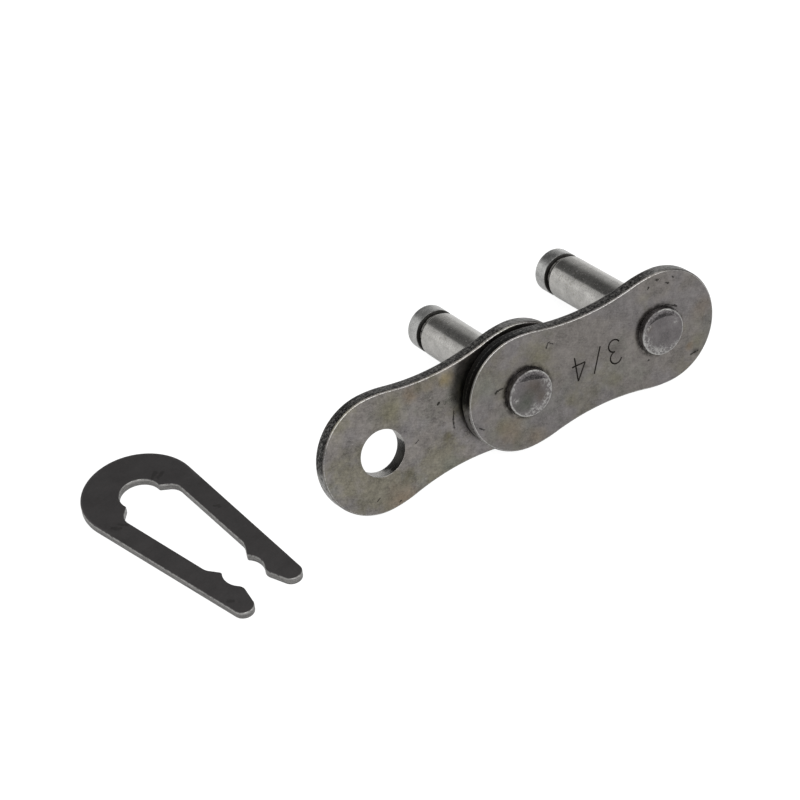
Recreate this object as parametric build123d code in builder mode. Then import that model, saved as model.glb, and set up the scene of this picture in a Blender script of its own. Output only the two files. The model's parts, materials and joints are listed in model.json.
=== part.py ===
from build123d import *
from math import asin, atan2, cos, degrees, hypot, radians, sin
import os

# Connecting link for a 3/4 inch pitch roller chain, taken apart: the outer plate with its two
# riveted pins leans on the table, the cover plate hangs on the left pin, swung out to the left,
# and the spring clip lies flat beside them. Millimetres, +Z up, the table is Z = 0, +X runs
# along the outer plate and +Y runs back along the pins.

# Plates: both are blanked to the same outline, two round lobes with a waist between them.
pitch = 19.05
plate_length = 35.05
plate_height = 14.95
plate_thickness = 1.8
waist_height = 12.64
waist_radius = 29.4
plate_edge_round = 0.3
hole_edge_break = 0.15
hole_roll_over = 0.3

# Pins
pin_diameter = 5.72
pin_reach = 23.25
pin_end_round = 0.25
press_interference = 0.01
head_diameter = 5.94
head_height = 0.86
head_round = 0.22
groove_diameter = 4.85
groove_start = 19.9
groove_width = 1.15

# Cover plate on the left pin: it sags askew as far as its loose bore lets it, back and to the left
cover_clearance = 0.08
running_gap = 0.033
plate_gap = 0.08
sag_heading = 33.0

# Spring clip, measured from the middle of its eye
clip_length = 31.75
clip_thickness = 0.95
clip_edge_break = 0.1
clip_head_diameter = 14.2
clip_head_offset = 0.1
eye_diameter = 5.04
eye_gate_angle = 11.5
eye_gate_round = 0.3
slot_top_width = 8.24
slot_top_depth = 1.9
slot_corner_radius = 1.8
slot_foot_width = 5.86
slot_foot_rise = 3.3
notch_diameter = 4.94
notch_inner_angle = 40
notch_inner_round = 0.35
notch_outer_angle = 49
notch_outer_round = 1.2
tip_radius = 1.28
tip_offset = 3.62
tip_sweep_angle = 165

# Places on the table: the left pin's axis at the outer plate's face, and the middle of the clip's eye
link_place = (11.327, -11.105)
clip_place = (-31.251, 8.806)
clip_turn = 11.2

# Sizes that follow from those above
pin_radius = pin_diameter / 2
bore_radius = pin_radius + cover_clearance
lobe_radius = plate_height / 2
lobe_offset = (plate_length - pitch) / 2 - lobe_radius
lobe_reach = pitch / 2 + lobe_offset

# The cover plate's bore is askew on the pin, and its tilted face stays clear of the outer plate.
cover_tilt = atan2(cover_clearance - running_gap, plate_thickness / 2 - hole_edge_break)
cover_tip = cover_tilt * cos(radians(sag_heading))
cover_turn = cover_tilt * sin(radians(sag_heading))
cover_reach = lobe_offset + lobe_radius - plate_edge_round
cover_depth = 1.5 * plate_thickness + plate_gap + cover_reach * sin(cover_tilt)

# Rest pose. The link stands on the right lobe of its outer plate and on the tip of its right pin.
# The cover plate stands on both its lobes and props up the left pin, so the link leans back and
# drops a little to the right. Each pass works out the lean from the last drop, then a new drop.
lobe_across = lobe_radius - plate_edge_round
lobe_through = plate_thickness / 2 - plate_edge_round
tip_run = pin_reach - pin_end_round
tip_across = pin_radius - pin_end_round
rise = lobe_across - tip_across
run = tip_run - plate_thickness + plate_edge_round
settling_passes = 8
drop = 0
for settling in range(settling_passes):
    level = plate_edge_round - pin_end_round + lobe_offset * sin(drop)
    lean = atan2(rise, run) + asin(level / hypot(rise, run))
    cover_lean = lean + cover_tip
    bore_height = lobe_across * cos(cover_lean) + lobe_through * sin(cover_lean) + plate_edge_round
    pin_height = bore_height + cover_depth * sin(lean)
    tip_height = tip_run * sin(lean) + tip_across * cos(lean) + pin_end_round
    drop = asin((pin_height - tip_height) / pitch)

# Working planes. Each faces the front of its piece, with x along the plate and y up it.
link_face = Plane.XZ.rotated((-degrees(lean), 0, 0)).rotated((0, degrees(drop), 0))
link_face.origin = (*link_place, pin_height)
outer_face = Plane(link_face.from_local_coords((pitch / 2, 0, 0)), link_face.x_dir, link_face.z_dir)

bore_plane = Plane.XZ.rotated((-degrees(cover_lean), 0, 0)).rotated((0, 0, degrees(cover_turn)))
bore_plane.origin = link_face.from_local_coords((0, 0, -cover_depth))
cover_middle = bore_plane.from_local_coords((-pitch / 2, 0, plate_thickness / 2))
cover_face = Plane(cover_middle, bore_plane.x_dir, bore_plane.z_dir)

table = Plane((*clip_place, 0), (cos(radians(clip_turn)), sin(radians(clip_turn)), 0), (0, 0, 1))

os.makedirs("parts", exist_ok=True)

# Both plates' outline: the lobes, the shoulders and the waist are tangent arcs.
neck = lobe_radius - waist_height / 2
sweep = 2 * atan2(neck, lobe_reach)
shoulder_radius = neck / (1 - cos(sweep)) - waist_radius
with BuildSketch() as link_outline:
    with BuildLine():
        CenterArc((lobe_reach, 0), lobe_radius, 0, 90)
        CenterArc((lobe_reach, lobe_radius - shoulder_radius), shoulder_radius, 90, degrees(sweep))
        CenterArc((0, waist_height / 2 + waist_radius), waist_radius, 270, degrees(sweep))
        mirror(about=Plane.YZ)
        mirror(about=Plane.XZ)
    make_face()

# Outer plate: the pins are pressed into its two holes, whose rims are rolled over in front.
with BuildPart() as outer_plate:
    with BuildSketch(outer_face):
        add(link_outline.sketch_local)
    extrude(amount=-plate_thickness)
    fillet(outer_plate.edges(), plate_edge_round)
    with Locations(outer_face):
        with GridLocations(pitch, 0, 2, 1):
            CounterSinkHole(pin_radius - press_interference, pin_radius + hole_roll_over, counter_sink_angle=90)
outer_plate.part.label = "outer_plate"
export_step(outer_plate.part, "parts/outer_plate.step")

# Cover plate: one hole runs loosely on the left pin and the other is open.
with BuildPart() as cover_plate:
    with BuildSketch(cover_face):
        add(link_outline.sketch_local)
    extrude(amount=-plate_thickness)
    fillet(cover_plate.edges(), plate_edge_round)
    with Locations(cover_face):
        with GridLocations(pitch, 0, 2, 1):
            Hole(bore_radius)
    rings = cover_plate.edges().filter_by(GeomType.CIRCLE)
    chamfer(rings.filter_by(lambda ring: ring.radius == bore_radius), hole_edge_break)
cover_plate.part.label = "cover_plate"
export_step(cover_plate.part, "parts/cover_plate.step")

# Pins: a turned shank with the headed end in front, the clip groove and the end collar behind.
for name, side in (("left_pin", 0), ("right_pin", pitch)):
    half_plane = Plane(link_face.from_local_coords((side, 0, 0)), link_face.x_dir, link_face.y_dir)
    with BuildPart() as pin:
        with BuildSketch(half_plane):
            with BuildLine():
                Polyline(
                    (0, -head_height),
                    (head_diameter / 2, -head_height),
                    (head_diameter / 2, 0),
                    (pin_radius, 0),
                    (pin_radius, groove_start),
                    (groove_diameter / 2, groove_start),
                    (groove_diameter / 2, groove_start + groove_width),
                    (pin_radius, groove_start + groove_width),
                    (pin_radius, pin_reach),
                    (0, pin_reach),
                    (0, -head_height),
                )
            make_face()
        pin_axis = Axis(half_plane.origin, half_plane.y_dir)
        revolve(axis=pin_axis)
        rings = pin.edges().filter_by(GeomType.CIRCLE).sort_by(pin_axis)
        fillet(rings[0], head_round)
        rings = pin.edges().filter_by(GeomType.CIRCLE).sort_by(pin_axis)
        fillet(rings[-1], pin_end_round)
    pin.part.label = name
    export_step(pin.part, f"parts/{name}.step")

# Spring clip: a flat blanked U. Its eye grips the left pin's groove and its notches the right one's.
# The outer side of each leg is the tangent of the round head and the round tip.
eye_radius = eye_diameter / 2
head_radius = clip_head_diameter / 2
notch_radius = notch_diameter / 2
tip_depth = clip_length - clip_head_offset - head_radius - tip_radius
leg_run = hypot(tip_offset, clip_head_offset + tip_depth)
leg_slope = degrees(asin((head_radius - tip_radius) / leg_run) - asin(tip_offset / leg_run))
notch_sweep = notch_outer_angle + notch_inner_angle
gate = (eye_radius * cos(radians(eye_gate_angle)), -eye_radius * sin(radians(eye_gate_angle)))
slot_corner = (slot_top_width / 2, -slot_top_depth)
slot_foot = (slot_foot_width / 2, slot_foot_rise - pitch)
with BuildPart() as spring_clip:
    with BuildSketch(table) as clip_outline:
        with BuildLine():
            head = CenterArc((0, clip_head_offset), head_radius, 90, -90 - leg_slope)
            tip = CenterArc((tip_offset, -tip_depth), tip_radius, -leg_slope, -tip_sweep_angle)
            notch = CenterArc((0, -pitch), notch_radius, -notch_outer_angle, notch_sweep)
            Line(head @ 1, tip @ 0)
            Line(tip @ 1, notch @ 0)
            FilletPolyline(notch @ 1, slot_foot, slot_corner, gate, radius=slot_corner_radius)
            CenterArc((0, 0), eye_radius, -eye_gate_angle, 90 + eye_gate_angle)
            mirror(about=Plane.YZ)
        make_face()
        # The corners of the gate and of the notches are rounded, each found by its height.
        for tooth, tooth_round in (
            (Vector(gate), eye_gate_round),
            (notch @ 1, notch_inner_round),
            (notch @ 0, notch_outer_round),
        ):
            corners = clip_outline.vertices().filter_by_position(Axis.Y, tooth.Y, tooth.Y)
            fillet(corners, tooth_round)
    extrude(amount=clip_thickness)
    rims = spring_clip.edges().group_by(Axis.Z)
    chamfer(rims[0] + rims[-1], clip_edge_break)
spring_clip.part.label = "spring_clip"
export_step(spring_clip.part, "parts/spring_clip.step")
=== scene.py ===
import json
from math import asin, atan2, cos, degrees, hypot, pi, radians, sin, tan

import bmesh
import bpy
from mathutils import Matrix, Vector


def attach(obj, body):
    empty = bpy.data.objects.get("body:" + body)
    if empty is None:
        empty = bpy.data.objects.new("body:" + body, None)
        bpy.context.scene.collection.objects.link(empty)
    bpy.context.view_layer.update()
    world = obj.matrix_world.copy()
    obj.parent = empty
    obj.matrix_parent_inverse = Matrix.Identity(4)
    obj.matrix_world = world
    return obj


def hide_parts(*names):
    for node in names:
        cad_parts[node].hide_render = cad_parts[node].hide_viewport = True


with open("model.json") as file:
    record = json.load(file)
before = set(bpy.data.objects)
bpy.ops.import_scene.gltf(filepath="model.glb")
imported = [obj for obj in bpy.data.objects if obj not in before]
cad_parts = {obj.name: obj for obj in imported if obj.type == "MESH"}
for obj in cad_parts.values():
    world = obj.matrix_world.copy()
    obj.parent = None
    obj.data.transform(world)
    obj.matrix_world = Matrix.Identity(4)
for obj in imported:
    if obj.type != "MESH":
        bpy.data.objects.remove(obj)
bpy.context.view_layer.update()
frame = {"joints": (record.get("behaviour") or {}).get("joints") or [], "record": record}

# Outer plate: blanked from strip steel, hardened, tumbled until its corners are bright, and oiled.
# The pins are pressed into its two holes, so its place is read from their grooved ends, and their
# lengths are given here. In its own millimetres x runs along the plate, z out of its front face.
pitch = 19.05
plate_length = 35.05
plate_height = 14.95
plate_thickness = 1.8
waist_height = 12.64
waist_radius = 29.4
corner_round = 0.3
mouth_round = 0.3
flat_border = 0.05
sharp_angle = 32
pin_radius = 2.86
pin_reach = 23.25
pin_end_round = 0.25
groove_start = 19.9
groove_width = 1.15
stamp_centre = (0.4, -0.15)
stamp_height = 3.2
stamp_pitch = 2.6
stamp_half_width = 0.1
stamp_depth = 0.14
bowl_radius = stamp_height / 4
bowl_turn = 250
three_mouth = 20
slash_run = 1.4
four_stem = 0.4
four_slant_run = 1.35
four_slant_drop = 2.1
four_bar = 1.9
oiled_steel = (0.192, 0.178, 0.167)
cool_film = (0.187, 0.176, 0.174)
green_film = (0.168, 0.172, 0.147)
brown_film = (0.187, 0.152, 0.114)
olive_film = (0.174, 0.163, 0.118)
golden_film = (0.2, 0.165, 0.095)
worn_steel = (0.47, 0.465, 0.45)
sheared_steel = (0.1, 0.096, 0.091)
bored_steel = (0.4, 0.39, 0.37)
# Near black: the colour of oil and cuts, and also of the painted shade in the pins' grooves and round
# the outer plate's holes.
black_oil_and_shade = (0.012, 0.011, 0.009)
stamp_soot = (0.042, 0.038, 0.034)
# The stretch along x over which the rims are painted darker towards their left end, as shade.
end_shade_x = (-7, -14)
rubbed_end_x, rubbed_end_y = (-13, -14.5), (1.6, 0.3)
# The top of the lobe round the hole at +x, where the rim is painted lighter as a highlight.
highlight_shoulder_x, highlight_shoulder_y = (8.5, 10.5), (4.8, 6)

mounts = {m["name"]: (Vector(m["pos_m"]), Vector(m["axis"])) for m in frame["record"]["mounts"]}
left_end, pin_axis = mounts["left_pin_end"]
right_end = mounts["right_pin_end"][0]
along_plate = right_end - left_end
pin_end_depth = (groove_start + groove_width + pin_reach - pin_end_round) / 2
left_root = left_end - pin_axis * pin_end_depth / 1000
right_root = right_end - pin_axis * pin_end_depth / 1000


def seat(origin, along, out):
    """The matrix that puts a piece drawn in its own millimetres in its place."""
    side = along.normalized()
    turn = Matrix((side, out.cross(side), out)).transposed().to_4x4()
    return Matrix.Translation(origin) @ turn @ Matrix.Scale(0.001, 4)


def only(kind, geometry):
    """The vertices, edges or faces in a list of mixed geometry."""
    return [item for item in geometry if isinstance(item, kind)]


def polar(centre, radius, angle):
    """The point at a radius and an angle in degrees from a centre."""
    return centre + Vector((cos(radians(angle)), sin(radians(angle)), 0)) * radius


def arc(mesh, start, centre, angle, steps):
    """Spins a vertex about a centre by an angle in degrees, and returns the arc's last vertex."""
    spun = bmesh.ops.spin(
        mesh, geom=[start], cent=centre, axis=(0, 0, 1), angle=radians(angle), steps=steps
    )
    return only(bmesh.types.BMVert, spun["geom_last"])[0]


def reflect(mesh, axis):
    """Adds the mirror image of what is drawn, joined where the two meet."""
    drawn = mesh.verts[:] + mesh.edges[:] + mesh.faces[:]
    bmesh.ops.mirror(mesh, geom=drawn, matrix=Matrix.Identity(4), merge_dist=0.001, axis=axis)


def blank_out(mesh, thickness):
    """Fills the outline that is drawn, holes left open, and presses it down to its thickness."""
    filled = bmesh.ops.triangle_fill(mesh, use_beauty=True, edges=mesh.edges[:])["geom"]
    sheet = only(bmesh.types.BMFace, filled)
    pressed = bmesh.ops.extrude_face_region(mesh, geom=sheet, use_keep_orig=True)["geom"]
    bmesh.ops.translate(mesh, vec=(0, 0, -thickness), verts=only(bmesh.types.BMVert, pressed))
    bmesh.ops.recalc_face_normals(mesh, faces=mesh.faces[:])


def rims(mesh):
    """The square edges round the two flat faces of a blank."""
    square = [edge for edge in mesh.edges if edge.calc_face_angle(0) > 1]
    return [edge for edge in square if abs(edge.verts[0].co.z - edge.verts[1].co.z) < 0.01]


def round_off(mesh, edges, width, segments):
    """Rounds edges off by a width."""
    bmesh.ops.bevel(
        mesh, geom=edges, offset=width, segments=segments, affect="EDGES", profile=0.5, material=-1
    )


def border_flats(mesh):
    """Insets the flat faces a little, so that the rounding beside them doesn't shade them."""
    flats = [face for face in mesh.faces if abs(face.normal.z) > 0.9999]
    bmesh.ops.inset_region(mesh, faces=flats, thickness=flat_border, use_even_offset=True)


def blank_plate(bore, mouth):
    """A plate with its two holes, rounded at its corners and at the holes' mouths."""
    lobe_radius = plate_height / 2
    lobe_reach = plate_length / 2 - lobe_radius
    neck = lobe_radius - waist_height / 2
    sweep = 2 * atan2(neck, lobe_reach)
    shoulder_radius = neck / (1 - cos(sweep)) - waist_radius
    mesh = bmesh.new()
    end = mesh.verts.new((plate_length / 2, 0, 0))
    shoulder = arc(mesh, end, (lobe_reach, 0, 0), 90, 40)
    waist = arc(mesh, shoulder, (lobe_reach, lobe_radius - shoulder_radius, 0), degrees(sweep), 16)
    arc(mesh, waist, (0, waist_height / 2 + waist_radius, 0), -degrees(sweep), 16)
    reflect(mesh, "X")
    reflect(mesh, "Y")
    for side in (-pitch / 2, pitch / 2):
        place = Matrix.Translation((side, 0, 0))
        bmesh.ops.create_circle(mesh, segments=96, radius=bore, matrix=place)
    blank_out(mesh, plate_thickness)

    def from_hole(edge):
        return hypot(abs(edge.verts[0].co.x) - pitch / 2, edge.verts[0].co.y)

    mouths = [edge for edge in rims(mesh) if from_hole(edge) < bore + mouth]
    corners = [edge for edge in rims(mesh) if from_hole(edge) > bore + mouth]
    round_off(mesh, corners, corner_round, 6)
    round_off(mesh, mouths, mouth, 4)
    border_flats(mesh)
    return mesh


def shaped(mesh, name, place):
    """Puts a mesh in its place and makes it an object, smooth but for its sharp edges."""
    bmesh.ops.recalc_face_normals(mesh, faces=mesh.faces[:])
    mesh.transform(place)
    data = bpy.data.meshes.new(name)
    mesh.to_mesh(data)
    mesh.free()
    data.shade_smooth()
    data.set_sharp_from_angle(angle=radians(sharp_angle))
    piece = bpy.data.objects.new(name, data)
    bpy.context.scene.collection.objects.link(piece)
    return piece


def stamp_edge(mesh, start, heading):
    """The V of the stamp's edge at the start of a stroke. It is twice as wide at its top, above the
    plate's face, as at the face. Gives the edge, the way ahead and the way to its left."""
    ahead = Vector((cos(heading), sin(heading), 0))
    side = Vector((-ahead.y, ahead.x, 0))
    spot = Vector((*start, 0))
    top = Vector((0, 0, stamp_depth))
    wide = side * stamp_half_width * 2
    corners = (spot - wide + top, spot + wide + top, spot - top)
    return mesh.faces.new([mesh.verts.new(corner) for corner in corners]), ahead, side


def straight_stroke(mesh, start, run):
    """Drives the stamp's edge from a point by a run along and across the plate."""
    edge, ahead, _ = stamp_edge(mesh, start, atan2(run[1], run[0]))
    pushed = bmesh.ops.extrude_face_region(mesh, geom=[edge])["geom"]
    driven = only(bmesh.types.BMVert, pushed)
    bmesh.ops.translate(mesh, vec=ahead * hypot(*run), verts=driven)


def bowl_stroke(mesh, start, heading):
    """Drives the stamp's edge clockwise round a bowl of a figure."""
    edge, _, side = stamp_edge(mesh, start, heading)
    centre = Vector((*start, 0)) - side * bowl_radius
    turn = -radians(bowl_turn)
    bmesh.ops.spin(mesh, geom=[edge], cent=centre, axis=(0, 0, 1), angle=turn, steps=24)


def stamp_size():
    """The stamp's edges for the chain's pitch in inches, 3/4, read the right way up."""
    top = stamp_height / 2
    three = -stamp_pitch
    stem = stamp_pitch + four_stem
    mouth = radians(three_mouth)
    three_start = (three - bowl_radius * cos(mouth), bowl_radius + bowl_radius * sin(mouth))
    mesh = bmesh.new()
    bowl_stroke(mesh, three_start, radians(90 - three_mouth))
    bowl_stroke(mesh, (three, 0), 0)
    straight_stroke(mesh, (-slash_run / 2, -top), (slash_run, stamp_height))
    straight_stroke(mesh, (stem, -top), (0, stamp_height))
    straight_stroke(mesh, (stem, top), (-four_slant_run, -four_slant_drop))
    straight_stroke(mesh, (stem - four_slant_run, top - four_slant_drop), (four_bar, 0))
    return mesh


class Wire:
    """A value in a finish. Sums on it add Math nodes."""

    def __init__(self, finish, socket):
        self.finish = finish
        self.socket = socket

    def math(self, operation, *values):
        return self.finish.node("Math", {"operation": operation}, dict(enumerate(values)))

    def __add__(self, other):
        return self.math("ADD", self, other)

    __radd__ = __add__

    def __sub__(self, other):
        return self.math("SUBTRACT", self, other)

    def __rsub__(self, other):
        return self.math("SUBTRACT", other, self)

    def __mul__(self, other):
        return self.math("MULTIPLY", self, other)

    __rmul__ = __mul__

    def __pow__(self, other):
        return self.math("POWER", self, other)

    def __abs__(self):
        return self.math("ABSOLUTE", self)

    def most(self, other):
        return self.math("MAXIMUM", self, other)

    def least(self, other):
        return self.math("MINIMUM", self, other)

    def step(self, low, high):
        """Rises smoothly from 0 at low to 1 at high, or falls where low is the larger."""
        sockets = {"Value": self, "From Min": low, "From Max": high}
        return self.finish.node("MapRange", {"interpolation_type": "SMOOTHSTEP"}, sockets)


class Nodes:
    """The node tree of a material or a world, to which nodes are added."""

    def __init__(self, owner):
        owner.use_nodes = True
        self.tree = owner.node_tree

    def node(self, kind, settings, sockets, output=0):
        """Adds a node with its settings and its sockets' values or wires, and gives one output."""
        made = self.tree.nodes.new("ShaderNode" + kind)
        for name, value in settings.items():
            if name == "stops":
                self.set_stops(made.color_ramp.elements, value)
            else:
                setattr(made, name, value)
        for name, value in sockets.items():
            if isinstance(value, Wire):
                self.tree.links.new(value.socket, made.inputs[name])
            else:
                made.inputs[name].default_value = value
        return Wire(self, made.outputs[output]) if made.outputs else made

    def grey(self, level):
        """A grey as a colour wire."""
        return self.node("CombineColor", {}, {0: level, 1: level, 2: level})

    def set_stops(self, elements, stops):
        """Gives a ramp its greys, each at its position."""
        while len(elements) < len(stops):
            elements.new(0.5)
        for element, (position, level) in zip(elements, stops):
            element.position = position
            element.color = (level, level, level, 1)


def tint(value):
    """A colour as a wire or as the four numbers of a colour socket."""
    return value if isinstance(value, Wire) else (*value, 1)


class Finish(Nodes):
    """A steel surface in the making, with its patterns in its piece's own millimetres."""

    def __init__(self, name, place, shift=0):
        self.material = bpy.data.materials.new(name)
        super().__init__(self.material)
        self.shader = self.tree.nodes["Principled BSDF"]
        self.shader.inputs["Metallic"].default_value = 1
        self.shift = shift
        origin, turn, size = place.decompose()
        sockets = {
            "Vector": self.node("TexCoord", {}, {}, "Object"),
            "Location": origin,
            "Rotation": turn.to_euler(),
            "Scale": size,
        }
        self.point = self.node("Mapping", {"vector_type": "TEXTURE"}, sockets)
        self.x, self.y, self.z = (
            self.node("SeparateXYZ", {}, {0: self.point}, way) for way in range(3)
        )
        sockets = {0: self.node("TexCoord", {}, {}, "Normal"), 1: turn.to_matrix().col[2]}
        self.facing = self.node("VectorMath", {"operation": "DOT_PRODUCT"}, sockets, "Value")

    def grain(self, size, detail=2, rough=0.5, shift=0, turn=0):
        """Noise about 0.5, with features of a size in millimetres or of one size each way."""
        sizes = size if isinstance(size, tuple) else (size, size, size)
        turned = self.point
        if turn:
            sockets = {"Vector": self.point, "Rotation": (0, 0, -radians(turn))}
            turned = self.node("Mapping", {}, sockets)
        offset = self.shift + shift
        sockets = {"Vector": turned, "Location": (offset,) * 3, "Scale": [1 / s for s in sizes]}
        spread = self.node("Mapping", {}, sockets)
        sockets = {"Vector": spread, "Scale": 1, "Detail": detail, "Roughness": rough}
        return self.node("TexNoise", {}, sockets)

    def away(self, centre):
        """The distance from a line along z through a centre."""
        x, y = self.x - centre[0], self.y - centre[1]
        return (x * x + y * y) ** 0.5

    def stain(self, centre, reach):
        """A soft ragged patch about a centre."""
        ragged = self.grain(reach, 5, 0.7, centre[0] + centre[1]) - 0.5
        return (self.away(centre) * (1 / reach) + 1.6 * ragged).step(1.3, -0.1)

    def scratch(self, start, end, width):
        """A short stroke from one point to another."""
        run = Vector(end) - Vector(start)
        x, y = self.x - start[0], self.y - start[1]
        share = x * (run.x / run.length_squared) + y * (run.y / run.length_squared)
        share = self.node("Clamp", {}, {"Value": share})
        off_x, off_y = x - share * run.x, y - share * run.y
        off = (off_x * off_x + off_y * off_y) ** 0.5
        ragged = self.grain(width * 1.5, 4, 0.7, start[0]) - 0.5
        return (off + 2.2 * width * ragged).step(0.7 * width, 0.25 * width)

    def scratches(self, strokes):
        """Several strokes, each with its start, its end and its width."""
        together = 0
        for start, end, width in strokes:
            together = self.scratch(start, end, width).most(together)
        return together

    def paint(self, under, over, mask):
        """Lays one colour over another by a mask."""
        sockets = {0: mask, 6: tint(under), 7: tint(over)}
        return self.node("Mix", {"data_type": "RGBA"}, sockets, 2)

    def shade(self, under, level):
        """Makes a colour lighter or darker by a level about 1."""
        settings = {"data_type": "RGBA", "blend_type": "MULTIPLY"}
        return self.node("Mix", settings, {0: 1, 6: tint(under), 7: self.grey(level)}, 2)

    def finish(self, base, roughness, height, depth):
        """Wires the colour and the roughness, and a relief whose depth is in millimetres."""
        relief = self.node("Bump", {}, {"Height": height, "Distance": depth / 1000})
        for name, wire in (("Base Color", base), ("Roughness", roughness), ("Normal", relief)):
            self.tree.links.new(wire.socket, self.shader.inputs[name])
        return self.material


class TumbledSteel(Finish):
    """Both plates' finish: oiled faces with films and specks, worn corners, sheared rims with painted
    shade and a painted highlight, and dirt with painted shade round the holes.
    """

    def __init__(self, name, place, shift, mouth):
        super().__init__(name, place, shift)
        self.mouth = mouth
        self.cloud = self.grain(3.5, 4, 0.6) - 0.5
        self.patch = self.grain(0.9, 3, 0.6, 43) - 0.5
        self.fine = self.grain(0.3, 4, 0.8, 7) - 0.5
        self.crumb = self.grain(0.26, 3, 0.7, 13)
        self.streak = self.grain((0.6, 0.6, 0.2), 3, 0.6, 17)
        self.rough_patch = self.grain(3, 3, 0.6, 5).step(0.42, 0.62)
        self.pepper = self.grain(0.24, 3, 0.6, 23).step(0.62, 0.74) * self.rough_patch
        self.side = abs(self.facing)
        self.rim = self.side.step(0.62, 0.4)
        self.hole = self.away((-pitch / 2, 0)).least(self.away((pitch / 2, 0)))
        self.in_bore = self.hole.step(mouth + 0.1, mouth + 0.02) * self.side.step(0.9, 0.7)

    def oiled_faces(self, stains, tone, contrast):
        """Films of oil in several tints, stains where it has dried, and fine specks."""
        skin = self.paint(oiled_steel, cool_film, self.grain(7, 5, 0.6, 41).step(0.46, 0.6))
        green = self.grain(7, 6, 0.65, 3).step(0.5, 0.64)
        skin = self.paint(skin, green_film, 0.3 * contrast * green)
        olive = self.grain(9, 6, 0.65, 11).step(0.48, 0.62)
        skin = self.paint(skin, olive_film, 0.42 * contrast * olive)
        for film, strength, centre, reach in stains:
            skin = self.paint(skin, film, self.stain(centre, reach) * strength)
        drawn = self.grain((1.6, 0.14, 1), 3, 0.6, 47, -28) - 0.5
        glint = self.grain(0.2, 2, 0.5, 31).step(0.62, 0.74) * (0.35 + 0.65 * self.rough_patch)
        uneven = 0.85 * self.cloud + 0.7 * self.patch + 0.95 * self.fine
        uneven = uneven + 0.3 * drawn - 0.4 * self.pepper + 0.32 * glint
        return self.shade(skin, tone + contrast * uneven)

    def sheared_rim(self, skin, end_shade_strength):
        """The rim, torn dark by the blanking, painted darker towards its left end as shade, burnished
        low at that end, and with a painted highlight atop one lobe.
        """
        # Painted shade: the rim darkens towards its left end, more on the outer plate.
        end_shade = end_shade_strength * self.x.step(*end_shade_x)
        torn = (8.5 * self.crumb + 2.5 * self.streak - 4.7 - end_shade).most(0.08)
        sheared = self.shade(sheared_steel, torn)
        wander = 0.3 * (self.grain(1.2, 3, 0.6, 19) - 0.5)
        tear = abs(self.z + plate_thickness / 2 + wander).step(0.12, 0.02)
        sheared = self.paint(sheared, worn_steel, 0.2 * (tear * self.crumb.step(0.4, 0.6)))
        # Darker where the rim turns into the rounded corners.
        sheared = self.paint(sheared, black_oil_and_shade, 0.55 * self.side.step(0.12, 0.35))
        end = self.y.step(*rubbed_end_y) * self.x.step(*rubbed_end_x)
        # A painted highlight on the rim at the top of the lobe round the hole at +x.
        shoulder = 0.7 * self.y.step(*highlight_shoulder_y) * self.x.step(*highlight_shoulder_x)
        rubbed_and_highlight = end.most(shoulder) * 0.8 * self.streak.step(0.3, 0.55)
        return self.paint(skin, self.paint(sheared, worn_steel, rubbed_and_highlight), self.rim)

    def worn_corners(self, skin, wear):
        """The rounded corners, bright where the tumbling broke through."""
        corner = self.side.step(0.82, 0.87) * self.side.step(0.96, 0.93)
        broken = self.grain(0.2, 2, 0.7, 29).step(wear, wear + 0.14)
        return self.paint(skin, worn_steel, corner * broken)

    def bored_holes(self, skin, bore_dark):
        """The walls of the holes, bright but near black in the given patches."""
        skin = self.paint(skin, self.shade(bored_steel, 0.4 + 1.2 * self.crumb), self.in_bore)
        for centre, reach in bore_dark:
            # Near black patches on the bore walls, at the given places.
            dark_patch = self.stain(centre, reach).step(0.15, 0.5)
            skin = self.paint(skin, black_oil_and_shade, 0.97 * self.in_bore * dark_patch)
        return skin

    def grime_and_shade_at_mouths(self, skin, reach):
        """Dirt and painted shade on the face in a ring round each hole, where the heads stand on the
        plate.
        """
        ring = self.hole.step(self.mouth + reach + 0.05, self.mouth + 0.05)
        # Painted shade and dirt: the face darkens in patches round the heads' feet.
        grime_and_shade = ring * self.grain(0.8, 3, 0.6, 37).step(0.3, 0.6)
        return self.paint(skin, black_oil_and_shade, 0.7 * grime_and_shade * self.side.step(0.9, 0.99))

    def tumbled(self, skin, marks):
        """The finished steel, with its scratches and dents and its relief."""
        cuts = self.scratches(marks) * self.facing.step(0.8, 0.95)
        skin = self.paint(skin, black_oil_and_shade, 0.8 * cuts)
        rough = 0.3 + 0.2 * self.cloud + 0.2 * self.patch + 0.12 * self.rim - 0.18 * self.in_bore
        height = 0.35 * self.cloud + 0.4 * self.patch + 0.25 * self.fine
        height = height - 0.6 * self.pepper - 3 * cuts
        height = height + self.rim * (2.5 * self.crumb + self.streak)
        return self.finish(skin, rough, height, 0.014)


outer_place = seat((left_root + right_root) / 2, along_plate, -pin_axis)
outer_plate = shaped(blank_plate(pin_radius, mouth_round), "outer_plate_blank", outer_place)

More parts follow.
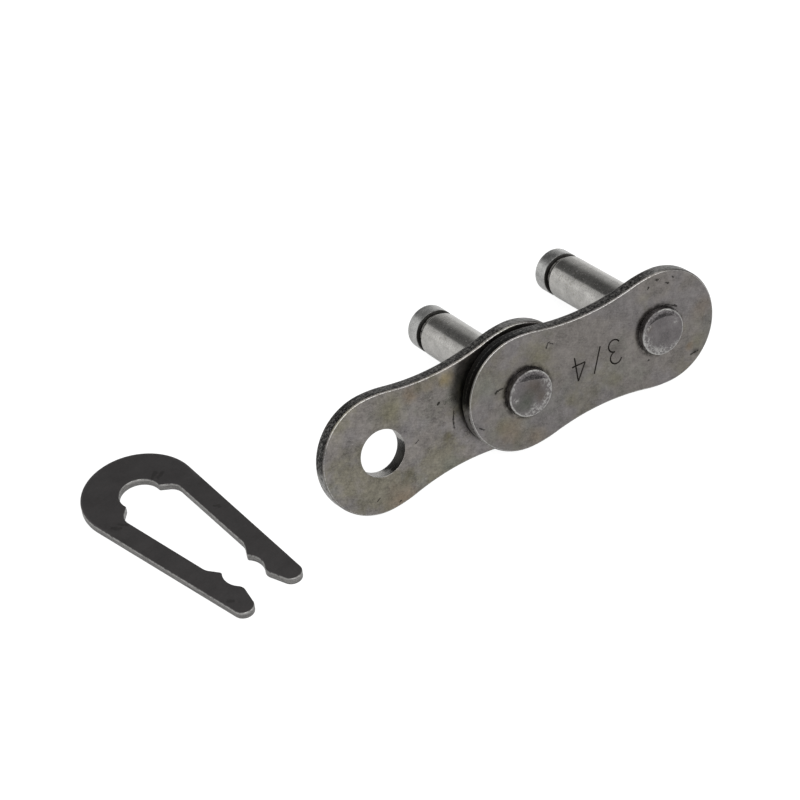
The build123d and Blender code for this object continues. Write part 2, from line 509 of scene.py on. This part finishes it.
outer_stains = (
    (green_film, 0.7, (-15, 3.1), 2.2),
    (olive_film, 0.9, (-7.3, 3.7), 2),
    (olive_film, 0.8, (-13.6, -3.2), 1.5),
    (brown_film, 0.7, (-12.8, -4), 2),
    (brown_film, 0.6, (-9.5, -6.2), 1.5),
    (olive_film, 0.6, (-4, -3.8), 1),
    (olive_film, 0.6, (2.4, -3.9), 1.2),
    (cool_film, 1, (5.5, 4.5), 3),
    (brown_film, 0.5, (15.8, 0.4), 1.6),
    (olive_film, 0.6, (14.6, -3.6), 1.4),
    (black_oil_and_shade, 0.28, (-2.4, 0), 1.5),
    (black_oil_and_shade, 0.28, (3.3, -0.3), 1.4),
    (black_oil_and_shade, 0.75, (14.1, -5), 0.5),
    (brown_film, 0.9, (13.4, -3.9), 0.7),
)
outer_marks = (
    ((-13.75, 1.62), (-13.5, 1.72), 0.34),
    ((-13.5, 1.7), (-12.7, 1.8), 0.2),
    ((-6.1, 4.35), (-5.75, 4.95), 0.2),
    ((-5.5, 4.75), (-5.1, 4.5), 0.12),
    ((-5.7, 4.9), (-5.45, 4.95), 0.14),
    ((7.3, -3.35), (7.4, -3.3), 0.24),
    ((10.9, 2.9), (12.3, 2.15), 0.12),
    ((12.1, 2.25), (12.35, 2.05), 0.26),
    ((13.4, -5.15), (14.5, -5.05), 0.16),
    ((8.8, 5.9), (8.95, 6.1), 0.2),
    ((10.1, 6.6), (10.4, 6.5), 0.26),
    ((11.4, 5.7), (11.7, 5.5), 0.22),
    ((12.4, 6.1), (12.5, 6), 0.24),
    ((-16.6, -1.9), (-16.1, -2.3), 0.2),
)
outer_steel = TumbledSteel("tumbled_outer_plate", outer_place, 0, pin_radius + mouth_round)
outer_skin = outer_steel.oiled_faces(outer_stains, tone=1, contrast=1.15)
outer_skin = outer_steel.sheared_rim(outer_skin, end_shade_strength=2.2)
outer_skin = outer_steel.worn_corners(outer_skin, wear=0.36)
outer_skin = outer_steel.bored_holes(outer_skin, bore_dark=())
outer_skin = outer_steel.grime_and_shade_at_mouths(outer_skin, reach=0.5)
outer_plate.data.materials.append(outer_steel.tumbled(outer_skin, outer_marks))

upside_down = Matrix.Translation((*stamp_centre, 0)) @ Matrix.Rotation(pi, 4, "Z")
stamp_tool = shaped(stamp_size(), "stamp_tool", outer_place @ upside_down)
groove = Finish("stamped_groove", outer_place)
soot_level = 0.6 + groove.grain(0.3, 3, 0.7)
groove_skin = groove.shade(stamp_soot, soot_level)
groove_steel = groove.finish(groove_skin, 0.35 + 0.2 * soot_level, soot_level, 0.01)
stamp_tool.data.materials.append(groove_steel)
cut = outer_plate.modifiers.new("Stamp", "BOOLEAN")
cut.operation = "DIFFERENCE"
cut.object = stamp_tool
cut.solver = "EXACT"
cut.use_self = True
cut.material_mode = "TRANSFER"
bpy.context.view_layer.update()
evaluated = outer_plate.evaluated_get(bpy.context.evaluated_depsgraph_get())
stamped = bpy.data.meshes.new_from_object(evaluated)
outer_plate.modifiers.clear()
outer_plate.data = stamped
stamped.set_sharp_from_angle(angle=radians(sharp_angle))
bpy.data.objects.remove(stamp_tool)
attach(outer_plate, "pin_link")
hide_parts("outer_plate")

# Pins: turned from bar, hardened, and ground along the shank. Each is pressed through the outer
# plate up to its head, which is peened over and left with a rough flat, and has a groove for the clip.
head_radius = 2.97
head_height = 0.86
head_round = 0.22
groove_radius = 2.425
groove_break = 0.05
groove_near = -groove_start
groove_far = -groove_start - groove_width
shank_border = 0.12
flat_tilt = 8
# The side of the heads' rims that is dimmed as painted shade, in degrees.
rim_shade_heading = 130
ground_steel = (0.45, 0.44, 0.42)
collar_steel = (0.42, 0.42, 0.41)
head_steel = (0.165, 0.154, 0.156)
olive_speck = (0.2, 0.19, 0.13)
green_grease = (0.1, 0.108, 0.09)
brown_grease = (0.108, 0.093, 0.082)


def ring(mesh, radius, level):
    """The edges of a turned mesh that lie on a circle about its axis."""
    def on_circle(vertex):
        return abs(hypot(*vertex.co.xy) - radius) < 0.01 and abs(vertex.co.z - level) < 0.01
    return [edge for edge in mesh.edges if all(on_circle(vertex) for vertex in edge.verts)]


def turned_pin(flat_heading, flat_reach):
    """A pin turned about its axis, with the flat that the peening leaves on its head."""
    mesh = bmesh.new()
    point = mesh.verts.new((0, 0, head_height))
    for radius, level in (
        (head_radius, head_height),
        (head_radius, 0),
        (pin_radius, 0),
        (pin_radius, groove_near + shank_border),
        (pin_radius, groove_near),
        (groove_radius, groove_near),
        (groove_radius, groove_far),
        (pin_radius, groove_far),
        (pin_radius, groove_far - shank_border),
        (pin_radius, pin_end_round + shank_border - pin_reach),
        (pin_radius, -pin_reach),
        (0, -pin_reach),
    ):
        previous, point = point, mesh.verts.new((radius, 0, level))
        mesh.edges.new((previous, point))
    section = mesh.verts[:] + mesh.edges[:]
    bmesh.ops.spin(mesh, geom=section, axis=(0, 0, 1), angle=2 * pi, steps=96, use_merge=True)
    bmesh.ops.remove_doubles(mesh, verts=mesh.verts[:], dist=0.0005)
    bmesh.ops.recalc_face_normals(mesh, faces=mesh.faces[:])
    round_off(mesh, ring(mesh, head_radius, head_height), head_round, 5)
    round_off(mesh, ring(mesh, pin_radius, -pin_reach), pin_end_round, 4)
    for level in (groove_near, groove_far):
        round_off(mesh, ring(mesh, pin_radius, level), groove_break, 2)
    heading = Vector((cos(radians(flat_heading)), sin(radians(flat_heading)), 0))
    slope = heading * sin(radians(flat_tilt)) + Vector((0, 0, cos(radians(flat_tilt))))
    rest = heading * flat_reach + Vector((0, 0, head_height))
    whole = mesh.verts[:] + mesh.edges[:] + mesh.faces[:]
    sliced = bmesh.ops.bisect_plane(
        mesh, geom=whole, plane_co=rest, plane_no=slope, clear_outer=True
    )
    bmesh.ops.holes_fill(mesh, edges=only(bmesh.types.BMEdge, sliced["geom_cut"]))
    return mesh


class PinSteel(Finish):
    """A pin's finish: a dark head whose worn rim has painted shade on one side and a painted floor
    reflection low down, a ground shank and a groove painted black as shade.
    """

    def __init__(self, name, place, shift):
        super().__init__(name, place, shift)
        self.radius = self.away((0, 0))
        self.cloud = self.grain(1.6, 6, 0.7) - 0.5
        self.fine = self.grain(0.22, 3, 0.75, 7) - 0.5
        self.wander = 0.5 * (self.grain(0.8, 4, 0.7, 3) - 0.5)
        self.scale = self.grain(0.25, 4, 0.8, 11).step(0.35, 0.68)
        self.rings = self.grain((3, 3, 0.06), 2, 0.6, 29) - 0.5
        self.pits = self.grain(0.2, 2, 0.5, 41).step(0.66, 0.76)
        self.at_head = self.z.step(-0.3, -0.1)
        self.past_groove = self.z.step(groove_far + 0.05, groove_far - 0.05)

    def toward(self, heading):
        """How far out a point lies along a heading across the pin, in degrees."""
        return self.x * cos(radians(heading)) + self.y * sin(radians(heading))

    def greased_head(self, grease):
        """The dark head with its smears of grease."""
        head = head_steel
        for film, centre, reach in grease:
            head = self.paint(head, film, 0.9 * self.stain(centre, reach))
        return self.shade(head, 0.95 + 1.2 * self.cloud + 0.8 * self.fine)

    def peened_flat(self, head, heading, reach, arch):
        """The flat past an arched edge: a worn lip, and scale that is paler near the rim.
        Gives the head's colour and the flat's mask."""
        out = self.away(polar(Vector((0, 0, 0)), -arch, heading)) - arch + 0.5 * self.wander
        flat = out.step(reach - 0.02, reach + 0.06)
        lip = out.step(reach - 0.2, reach - 0.05) * self.grain(0.5, 3, 0.7, 59).step(0.45, 0.65)
        head = self.paint(head, worn_steel, 0.22 * lip)
        shelf = (self.radius + self.wander).step(2.25, 2.6)
        scaled = 0.14 + 0.5 * self.scale + (0.3 + 0.6 * self.scale) * shelf
        return self.paint(head, self.shade(head_steel, scaled), flat), flat

    def bruises_and_sheen(self, heading, chips, flat):
        """The mask of the head's knocks and chips, all clear of the flat; it reaches in from the rim
        towards one lower side as a painted reflection of the floor.
        """
        # Reaching in further towards one lower side is a painted reflection of the floor.
        out = self.radius + 2 * self.wander + 0.4 * self.toward(heading)
        bruising_and_sheen = out.step(2.35, 3.2)
        for centre, reach in chips:
            bruising_and_sheen = bruising_and_sheen.most(self.stain(centre, 1.7 * reach))
        return bruising_and_sheen * self.grain(0.32, 4, 0.75, 17).step(0.42, 0.6) * (1 - flat)

    def worn_rim(self, head):
        """The head's rim, burnished bright, but dimmed on one side as painted shade."""
        # Painted shade: the rim is dimmed on one side.
        shaded_side = self.toward(rim_shade_heading).step(2.2, 2.55)
        worn = (self.radius + 0.3 * self.wander).step(2.7, 2.84) * self.facing.step(0.2, 0.5)
        worn = worn * (1 - 0.75 * shaded_side) * self.grain(0.35, 4, 0.75, 23).step(0.34, 0.56)
        return self.paint(head, worn_steel, worn)

    def ground_shank(self):
        """The shank with the grinding's rings, specks and pits, and the collar past the groove."""
        patch = self.grain((1.4, 1.4, 3.5), 4, 0.65, 37)
        specks = self.grain(0.3, 4, 0.75, 31).step(0.5, 0.7) * patch.step(0.4, 0.62)
        level = 1 + 1.1 * self.cloud + 0.8 * self.fine + 0.3 * self.rings
        shank = self.paint(self.shade(ground_steel, level), olive_speck, 0.75 * specks)
        shank = self.paint(shank, black_oil_and_shade, 0.5 * self.pits)
        collar = self.shade(collar_steel, 1 + 1.6 * self.cloud + 1.2 * self.fine)
        return self.paint(shank, collar, self.past_groove)

    def shaded_groove(self, shank):
        """The groove, painted black as shade but for a painted highlight line on its upper side. Gives
        the colour and its mask.
        """
        groove = self.radius.step(pin_radius - 0.03, pin_radius - 0.12)
        groove = groove * self.z.step(groove_near + 0.1, groove_near)
        groove = groove * self.z.step(groove_far - 0.06, groove_far + 0.02)
        # Painted highlight: a lighter line on the groove's upper side, where its floor would be lit.
        bright = abs(self.z + groove_start + 0.7 * groove_width).step(0.2, 0.08)
        bright = bright * self.y.step(-0.8, 0.6) * self.grain(0.6, 3, 0.7, 61).step(0.34, 0.5)
        # Painted shade: the groove is near black.
        return self.paint(shank, black_oil_and_shade, (0.97 - 0.9 * bright) * groove), groove

    def turned(self, flat_shape, sheen_heading, grease, chips):
        """The finished steel."""
        head, flat = self.peened_flat(self.greased_head(grease), *flat_shape)
        pitting_and_sheen = self.bruises_and_sheen(sheen_heading, chips, flat)
        head = self.worn_rim(self.paint(head, worn_steel, 0.75 * pitting_and_sheen))
        shank, groove = self.shaded_groove(self.ground_shank())
        skin = self.paint(shank, head, self.at_head)
        rough = 0.11 + 0.14 * self.past_groove + 0.22 * self.at_head
        rough = rough + 0.18 * self.cloud + 0.4 * groove
        height = (0.5 * self.cloud + 0.6 * self.fine) * (0.25 + 0.75 * self.at_head)
        height = height + (1 - self.at_head) * (0.05 * self.rings - 0.3 * self.pits)
        height = height - 0.5 * self.at_head * flat * self.scale + 0.4 * self.at_head * pitting_and_sheen
        return self.finish(skin, rough, height, 0.03)


left_flat = (75, 1.76, 12)
left_grease = (
    (brown_grease, (0.6, 0.9), 1.8),
    (green_grease, (-1, -0.7), 1.6),
    (brown_grease, (1.3, -1), 1),
)
left_chips = (
    ((-0.1, -2.1), 0.4),
    ((0.3, -1.7), 0.3),
    ((2.2, 0.95), 0.45),
    ((-2.2, 0), 0.3),
    ((-2.3, 1.5), 0.3),
)
right_flat = (86, 1.95, 2.1)
right_grease = ((brown_grease, (-1.9, 1.2), 0.6),)
right_chips = (
    ((-2.3, -0.2), 0.4),
    ((-2, -1.4), 0.3),
    ((-0.5, -2.2), 0.5),
    ((-1.9, 1.3), 0.3),
    ((1.9, 0.7), 0.25),
)
for name, root, pin_shift, flat_shape, sheen_heading, grease, chips in (
    ("left_pin", left_root, 0, left_flat, 310, left_grease, left_chips),
    ("right_pin", right_root, 50, right_flat, 235, right_grease, right_chips),
):
    pin_place = seat(root, along_plate, -pin_axis)
    pin = shaped(turned_pin(*flat_shape[:2]), name + "_turned", pin_place)
    pin_steel = PinSteel(name + "_ground", pin_place, pin_shift)
    pin.data.materials.append(pin_steel.turned(flat_shape, sheen_heading, grease, chips))
    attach(pin, "pin_link")
    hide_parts(name)

# Cover plate: the same blank with larger holes, loose on the pins so that it comes off by hand.
# It hangs on the left pin by one hole, and its place is read from that hinge and the free hole.
cover_bore_radius = 2.94
cover_mouth_break = 0.06
dark_olive = (0.11, 0.1, 0.065)
hinge = frame["joints"][0]
cover_out = Vector(hinge["axis"])
free_hole = mounts["cover_hole"][0]
hung_hole = Vector(hinge["pos_m"])
cover_middle = (free_hole + hung_hole) / 2 + cover_out * plate_thickness / 2000
cover_place = seat(cover_middle, hung_hole - free_hole, cover_out)
cover_blank = blank_plate(cover_bore_radius, cover_mouth_break)
cover_plate = shaped(cover_blank, "cover_plate_blank", cover_place)
cover_stains = (
    (olive_film, 1, (-7, 4.6), 2.6),
    (golden_film, 0.9, (0.6, 5), 1.3),
    (golden_film, 0.5, (-1.8, 5.2), 1),
    (brown_film, 0.9, (-4.3, 5.3), 1.3),
    (dark_olive, 0.7, (-3, 5.7), 1),
    (dark_olive, 0.6, (-0.9, 5.9), 0.9),
    (dark_olive, 0.9, (-0.9, -2.1), 1),
    (dark_olive, 0.7, (-7, -4.2), 1.2),
    (brown_film, 0.9, (-8.8, -6.5), 2.3),
    (green_film, 0.8, (-1.5, -5.6), 1.9),
    (olive_film, 0.7, (-14.9, -2.2), 1.6),
    (cool_film, 0.8, (-13, 3.4), 2.2),
)
# Where the free hole's wall is near black.
cover_bore_dark = (((-7.3, -2.2), 2.3), ((-6.7, -0.6), 1))
cover_marks = (
    ((0.65, 0.65), (0.3, -0.2), 0.16),
    ((0.3, -0.2), (0.12, -1.35), 0.2),
    ((-1.1, 2.45), (-0.95, 2.62), 0.26),
    ((-5.2, -0.85), (-4.75, -0.6), 0.12),
    ((-11.8, -5.4), (-11.4, -5.2), 0.14),
    ((-9.1, -6.9), (-8.9, -6.8), 0.16),
)
cover_steel = TumbledSteel("tumbled_cover_plate", cover_place, 200, cover_bore_radius)
cover_skin = cover_steel.oiled_faces(cover_stains, tone=1.1, contrast=1.6)
cover_skin = cover_steel.sheared_rim(cover_skin, end_shade_strength=0.4)
cover_skin = cover_steel.worn_corners(cover_skin, wear=0.42)
cover_skin = cover_steel.bored_holes(cover_skin, cover_bore_dark)
cover_plate.data.materials.append(cover_steel.tumbled(cover_skin, cover_marks))
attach(cover_plate, "cover")
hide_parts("cover_plate")

# Spring clip: blanked from spring steel strip as a flat U and blued. Its eye and its notches snap
# into the pins' grooves. It lies flat on the table, x across it and its legs along -y.
clip_length = 31.75
clip_thickness = 0.95
clip_edge_break = 0.1
clip_head_radius = 7.1
clip_head_offset = 0.1
eye_radius = 2.52
eye_gate_angle = 11.5
eye_gate_round = 0.3
slot_top_width = 8.24
slot_top_depth = 1.9
slot_corner_radius = 1.8
slot_foot_width = 5.86
slot_foot_rise = 3.3
notch_radius = 2.47
notch_inner_angle = 40
notch_inner_round = 0.35
notch_outer_angle = 49
notch_outer_round = 1.2
tip_radius = 1.28
tip_offset = 3.62
tip_sweep_angle = 165
blued_steel = (0.08, 0.076, 0.076)
clip_side_steel = (0.2, 0.195, 0.19)
clip_smudges = (
    ((-5.9, -2.2), (-5.3, -2.9), 0.5),
    ((-4.9, -2.3), (-4.4, -3.1), 0.4),
    ((2.6, 1), (3.6, 1.5), 0.5),
    ((3.2, 0.5), (4.2, 0.9), 0.4),
    ((4.6, -8.2), (5, -8.6), 0.3),
    ((5, -8.6), (5, -9), 0.4),
    ((-4.4, -21.5), (-4, -22), 0.4),
)


def line(mesh, start, end):
    """Draws an edge from a vertex to a point, and returns the vertex there."""
    drawn = mesh.verts.new(end)
    mesh.edges.new((start, drawn))
    return drawn


def arc_to(mesh, start, centre, end):
    """Draws the short arc from a vertex to a point about a centre, and returns its last vertex."""
    before, after = (start.co - centre).xy, (end - centre).xy
    angle = -degrees(before.angle_signed(after))
    return arc(mesh, start, centre, angle, max(4, round(abs(angle) / 4)))


def bend(mesh, start, corner, beyond, radius):
    """Draws a line from a vertex towards a corner, and rounds it towards the point beyond."""
    back = (start.co - corner).normalized()
    onward = (beyond - corner).normalized()
    half = back.angle(onward) / 2
    touch = line(mesh, start, corner + back * radius / tan(half))
    centre = corner + (back + onward).normalized() * radius / sin(half)
    return arc_to(mesh, touch, centre, corner + onward * radius / tan(half))


def tooth(circle, circle_radius, corner, beyond, radius):
    """Rounds the tooth where a circle meets a side that starts at a corner. Gives the rounding's
    centre, and the points where it touches the circle and the side."""
    along = (beyond - corner).normalized()
    inward = Vector((along.y, -along.x, 0))
    if inward.dot(corner - circle) < 0:
        inward = -inward
    foot = corner + inward * radius
    nearest = foot + along * (circle - foot).dot(along)
    reach = ((circle_radius + radius) ** 2 - (nearest - circle).length_squared) ** 0.5
    centre = nearest + along * reach
    return centre, circle + (centre - circle).normalized() * circle_radius, centre - inward * radius


def blank_clip():
    """The clip: half its outline is drawn from the head round the leg to the eye, and mirrored."""
    eye_centre = Vector((0, 0, 0))
    head_centre = Vector((0, clip_head_offset, 0))
    notch_centre = Vector((0, -pitch, 0))
    tip_depth = clip_length - clip_head_offset - clip_head_radius - tip_radius
    tip_centre = Vector((tip_offset, -tip_depth, 0))
    leg_run = (tip_centre - head_centre).length
    leg_slope = asin((clip_head_radius - tip_radius) / leg_run) - asin(tip_offset / leg_run)
    leg_angle = -degrees(leg_slope)
    tip_end = polar(tip_centre, tip_radius, leg_angle - tip_sweep_angle)
    notch_outer = polar(notch_centre, notch_radius, -notch_outer_angle)
    notch_inner = polar(notch_centre, notch_radius, notch_inner_angle)
    slot_foot = Vector((slot_foot_width / 2, slot_foot_rise - pitch, 0))
    slot_top = Vector((slot_top_width / 2, -slot_top_depth, 0))
    gate = polar(eye_centre, eye_radius, -eye_gate_angle)
    outer_tooth, outer_at_notch, outer_at_leg = tooth(
        notch_centre, notch_radius, notch_outer, tip_end, notch_outer_round
    )
    inner_tooth, inner_at_notch, inner_at_slot = tooth(
        notch_centre, notch_radius, notch_inner, slot_foot, notch_inner_round
    )
    gate_tooth, gate_at_eye, gate_at_slot = tooth(
        eye_centre, eye_radius, gate, slot_top, eye_gate_round
    )
    mesh = bmesh.new()
    point = mesh.verts.new(head_centre + Vector((0, clip_head_radius, 0)))
    point = arc_to(mesh, point, head_centre, polar(head_centre, clip_head_radius, leg_angle))
    point = line(mesh, point, polar(tip_centre, tip_radius, leg_angle))
    point = arc_to(mesh, point, tip_centre, tip_end)
    point = line(mesh, point, outer_at_leg)
    point = arc_to(mesh, point, outer_tooth, outer_at_notch)
    point = arc_to(mesh, point, notch_centre, inner_at_notch)
    point = arc_to(mesh, point, inner_tooth, inner_at_slot)
    point = bend(mesh, point, slot_foot, slot_top, slot_corner_radius)
    point = bend(mesh, point, slot_top, gate, slot_corner_radius)
    point = line(mesh, point, gate_at_slot)
    point = arc_to(mesh, point, gate_tooth, gate_at_eye)
    arc_to(mesh, point, eye_centre, Vector((0, eye_radius, 0)))
    reflect(mesh, "X")
    bmesh.ops.remove_doubles(mesh, verts=mesh.verts[:], dist=0.0005)
    blank_out(mesh, clip_thickness)
    round_off(mesh, rims(mesh), clip_edge_break, 3)
    border_flats(mesh)
    return mesh


def blued_spring_steel(name, place, shift):
    """The clip's finish: dark blued faces, smudged and worn, lighter along the head's edge as a
    painted highlight, with bright sheared sides.
    """
    steel = Finish(name, place, shift)
    cloud = steel.grain(3, 7, 0.75) - 0.5
    fine = steel.grain(0.3, 3, 0.7, 7) - 0.5
    head_rim = steel.away((0, clip_head_offset)).step(clip_head_radius - 0.4, clip_head_radius)
    # Painted highlight: the face is lighter along the head's edge.
    head_edge_highlight = head_rim * steel.y.step(-4, 0)
    skin = steel.shade(blued_steel, 1 + 0.7 * cloud + 0.3 * fine + 0.6 * head_edge_highlight)
    skin = steel.paint(skin, black_oil_and_shade, 0.3 * steel.scratches(clip_smudges))
    side = abs(steel.facing)
    wall = side.step(0.7, 0.45)
    crumb = steel.grain(0.22, 4, 0.75, 13)
    bands = steel.grain((2.5, 2.5, 0.11), 3, 0.6, 21)
    skin = steel.paint(skin, steel.shade(clip_side_steel, 1.6 * crumb + 2.4 * bands - 1), wall)
    edge = side.step(0.99, 0.9) * steel.z.step(-0.24, -0.12)
    edge = edge * steel.grain(0.5, 3, 0.7, 19).step(0.3, 0.6)
    skin = steel.paint(skin, worn_steel, 0.75 * edge)
    height = 0.4 * cloud + 0.15 * fine + wall * (1.2 * crumb + bands)
    return steel.finish(skin, 0.36 + 0.12 * cloud, height, 0.01)


eye, up = mounts["clip_eye"]
notch = mounts["clip_notch"][0]
clip_place = seat(eye + up * clip_thickness / 2000, (eye - notch).cross(up), up)
spring_clip = shaped(blank_clip(), "spring_clip_blank", clip_place)
spring_clip.data.materials.append(blued_spring_steel("blued_spring_clip", clip_place, 400))
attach(spring_clip, "pin_link")
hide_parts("spring_clip")

# The table is a white sheet, and the studio a plain room. Both are white to the camera. Metal sees
# the white table, a pale horizon, a darker band above it, and a softer ceiling.
table_reach = 3
table_tone = 0.8
shadow_share = 0.25
glow_share = 0.93
metal_glow_share = 0.18
room_tones = (
    (0, 0.66),
    (0.05, 0.64),
    (0.19, 0.55),
    (0.31, 0.38),
    (0.39, 0.2),
    (0.43, 0.12),
    (0.5, 0.1),
    (0.62, 0.48),
    (1, 0.6),
)
table_mesh = bmesh.new()
bmesh.ops.create_grid(table_mesh, x_segments=1, y_segments=1, size=table_reach)
table_data = bpy.data.meshes.new("table")
table_mesh.to_mesh(table_data)
table_mesh.free()
table = bpy.data.objects.new("table", table_data)
bpy.context.scene.collection.objects.link(table)
white_paper = bpy.data.materials.new("white_table")
paper = Nodes(white_paper)
paper.tree.nodes.clear()
to_camera = paper.node("LightPath", {}, {}, "Is Camera Ray").most(
    paper.node("LightPath", {}, {}, "Is Transmission Ray")
)
to_metal = paper.node("LightPath", {}, {}, "Is Glossy Ray")
shadowed = paper.grey(table_tone - (table_tone - shadow_share) * to_camera)
lit = paper.node("BsdfDiffuse", {}, {"Color": shadowed})
shine = glow_share * to_camera + metal_glow_share * to_metal
glow = paper.node("Emission", {}, {"Strength": shine})
sheet = paper.node("AddShader", {}, {0: lit, 1: glow})
paper.node("OutputMaterial", {}, {"Surface": sheet})
table_data.materials.append(white_paper)

studio_world = bpy.data.worlds.new("studio")
bpy.context.scene.world = studio_world
studio = Nodes(studio_world)
studio.tree.nodes.clear()
looking = studio.node("TexCoord", {}, {}, "Generated")
height_seen = studio.node("SeparateXYZ", {}, {0: looking}, "Z")
room = studio.node("ValToRGB", {"stops": room_tones}, {0: height_seen})
room_light = studio.node("Background", {}, {"Color": room})
studio.node("OutputWorld", {}, {"Surface": room_light})

# A lamp's level is the brightness of its face, so its energy goes with its area.
for lamp_name, azimuth, elevation, distance, width, height, level in (
    ("front_light", 175, 42, 0.7, 1.0, 0.45, 2.25),
    ("back_left_light", -50, 14.5, 0.7, 0.84, 0.36, 0.36),
    ("top_light", 60, 75, 0.7, 0.4, 0.4, 1.2),
):
    outward = Vector((sin(radians(azimuth)), cos(radians(azimuth)), 0))
    spot = outward * cos(radians(elevation)) + Vector((0, 0, sin(radians(elevation))))
    spot = spot * distance
    lamp = bpy.data.lights.new(lamp_name, "AREA")
    lamp.shape = "RECTANGLE"
    lamp.size, lamp.size_y = width, height
    lamp.energy = level * pi * width * height
    facing_in = (-spot).to_track_quat("-Z", "Y").to_matrix().to_4x4()
    lamp_object = bpy.data.objects.new(lamp_name, lamp)
    lamp_object.matrix_world = Matrix.Translation(spot) @ facing_in
    bpy.context.scene.collection.objects.link(lamp_object)

# The camera looks down over the left front of the link, rolled a little.
camera_place = Vector((-0.105039, -0.203756, 0.204605))
camera_aim = Vector((0.34606, 0.67015, -0.65661)).normalized()
camera_up = Vector((0.4056, 0.52421, 0.74879))
sensor_width = 36
focal_length = 114.42
camera_lens = bpy.data.cameras.new("camera")
camera_lens.sensor_width = sensor_width
camera_lens.lens = focal_length
right = camera_aim.cross(camera_up).normalized()
camera_turn = Matrix((right, right.cross(camera_aim), -camera_aim)).transposed().to_4x4()
camera = bpy.data.objects.new("camera", camera_lens)
camera.matrix_world = Matrix.Translation(camera_place) @ camera_turn
bpy.context.scene.collection.objects.link(camera)
bpy.context.scene.camera = camera
bpy.context.scene.view_settings.view_transform = "Standard"
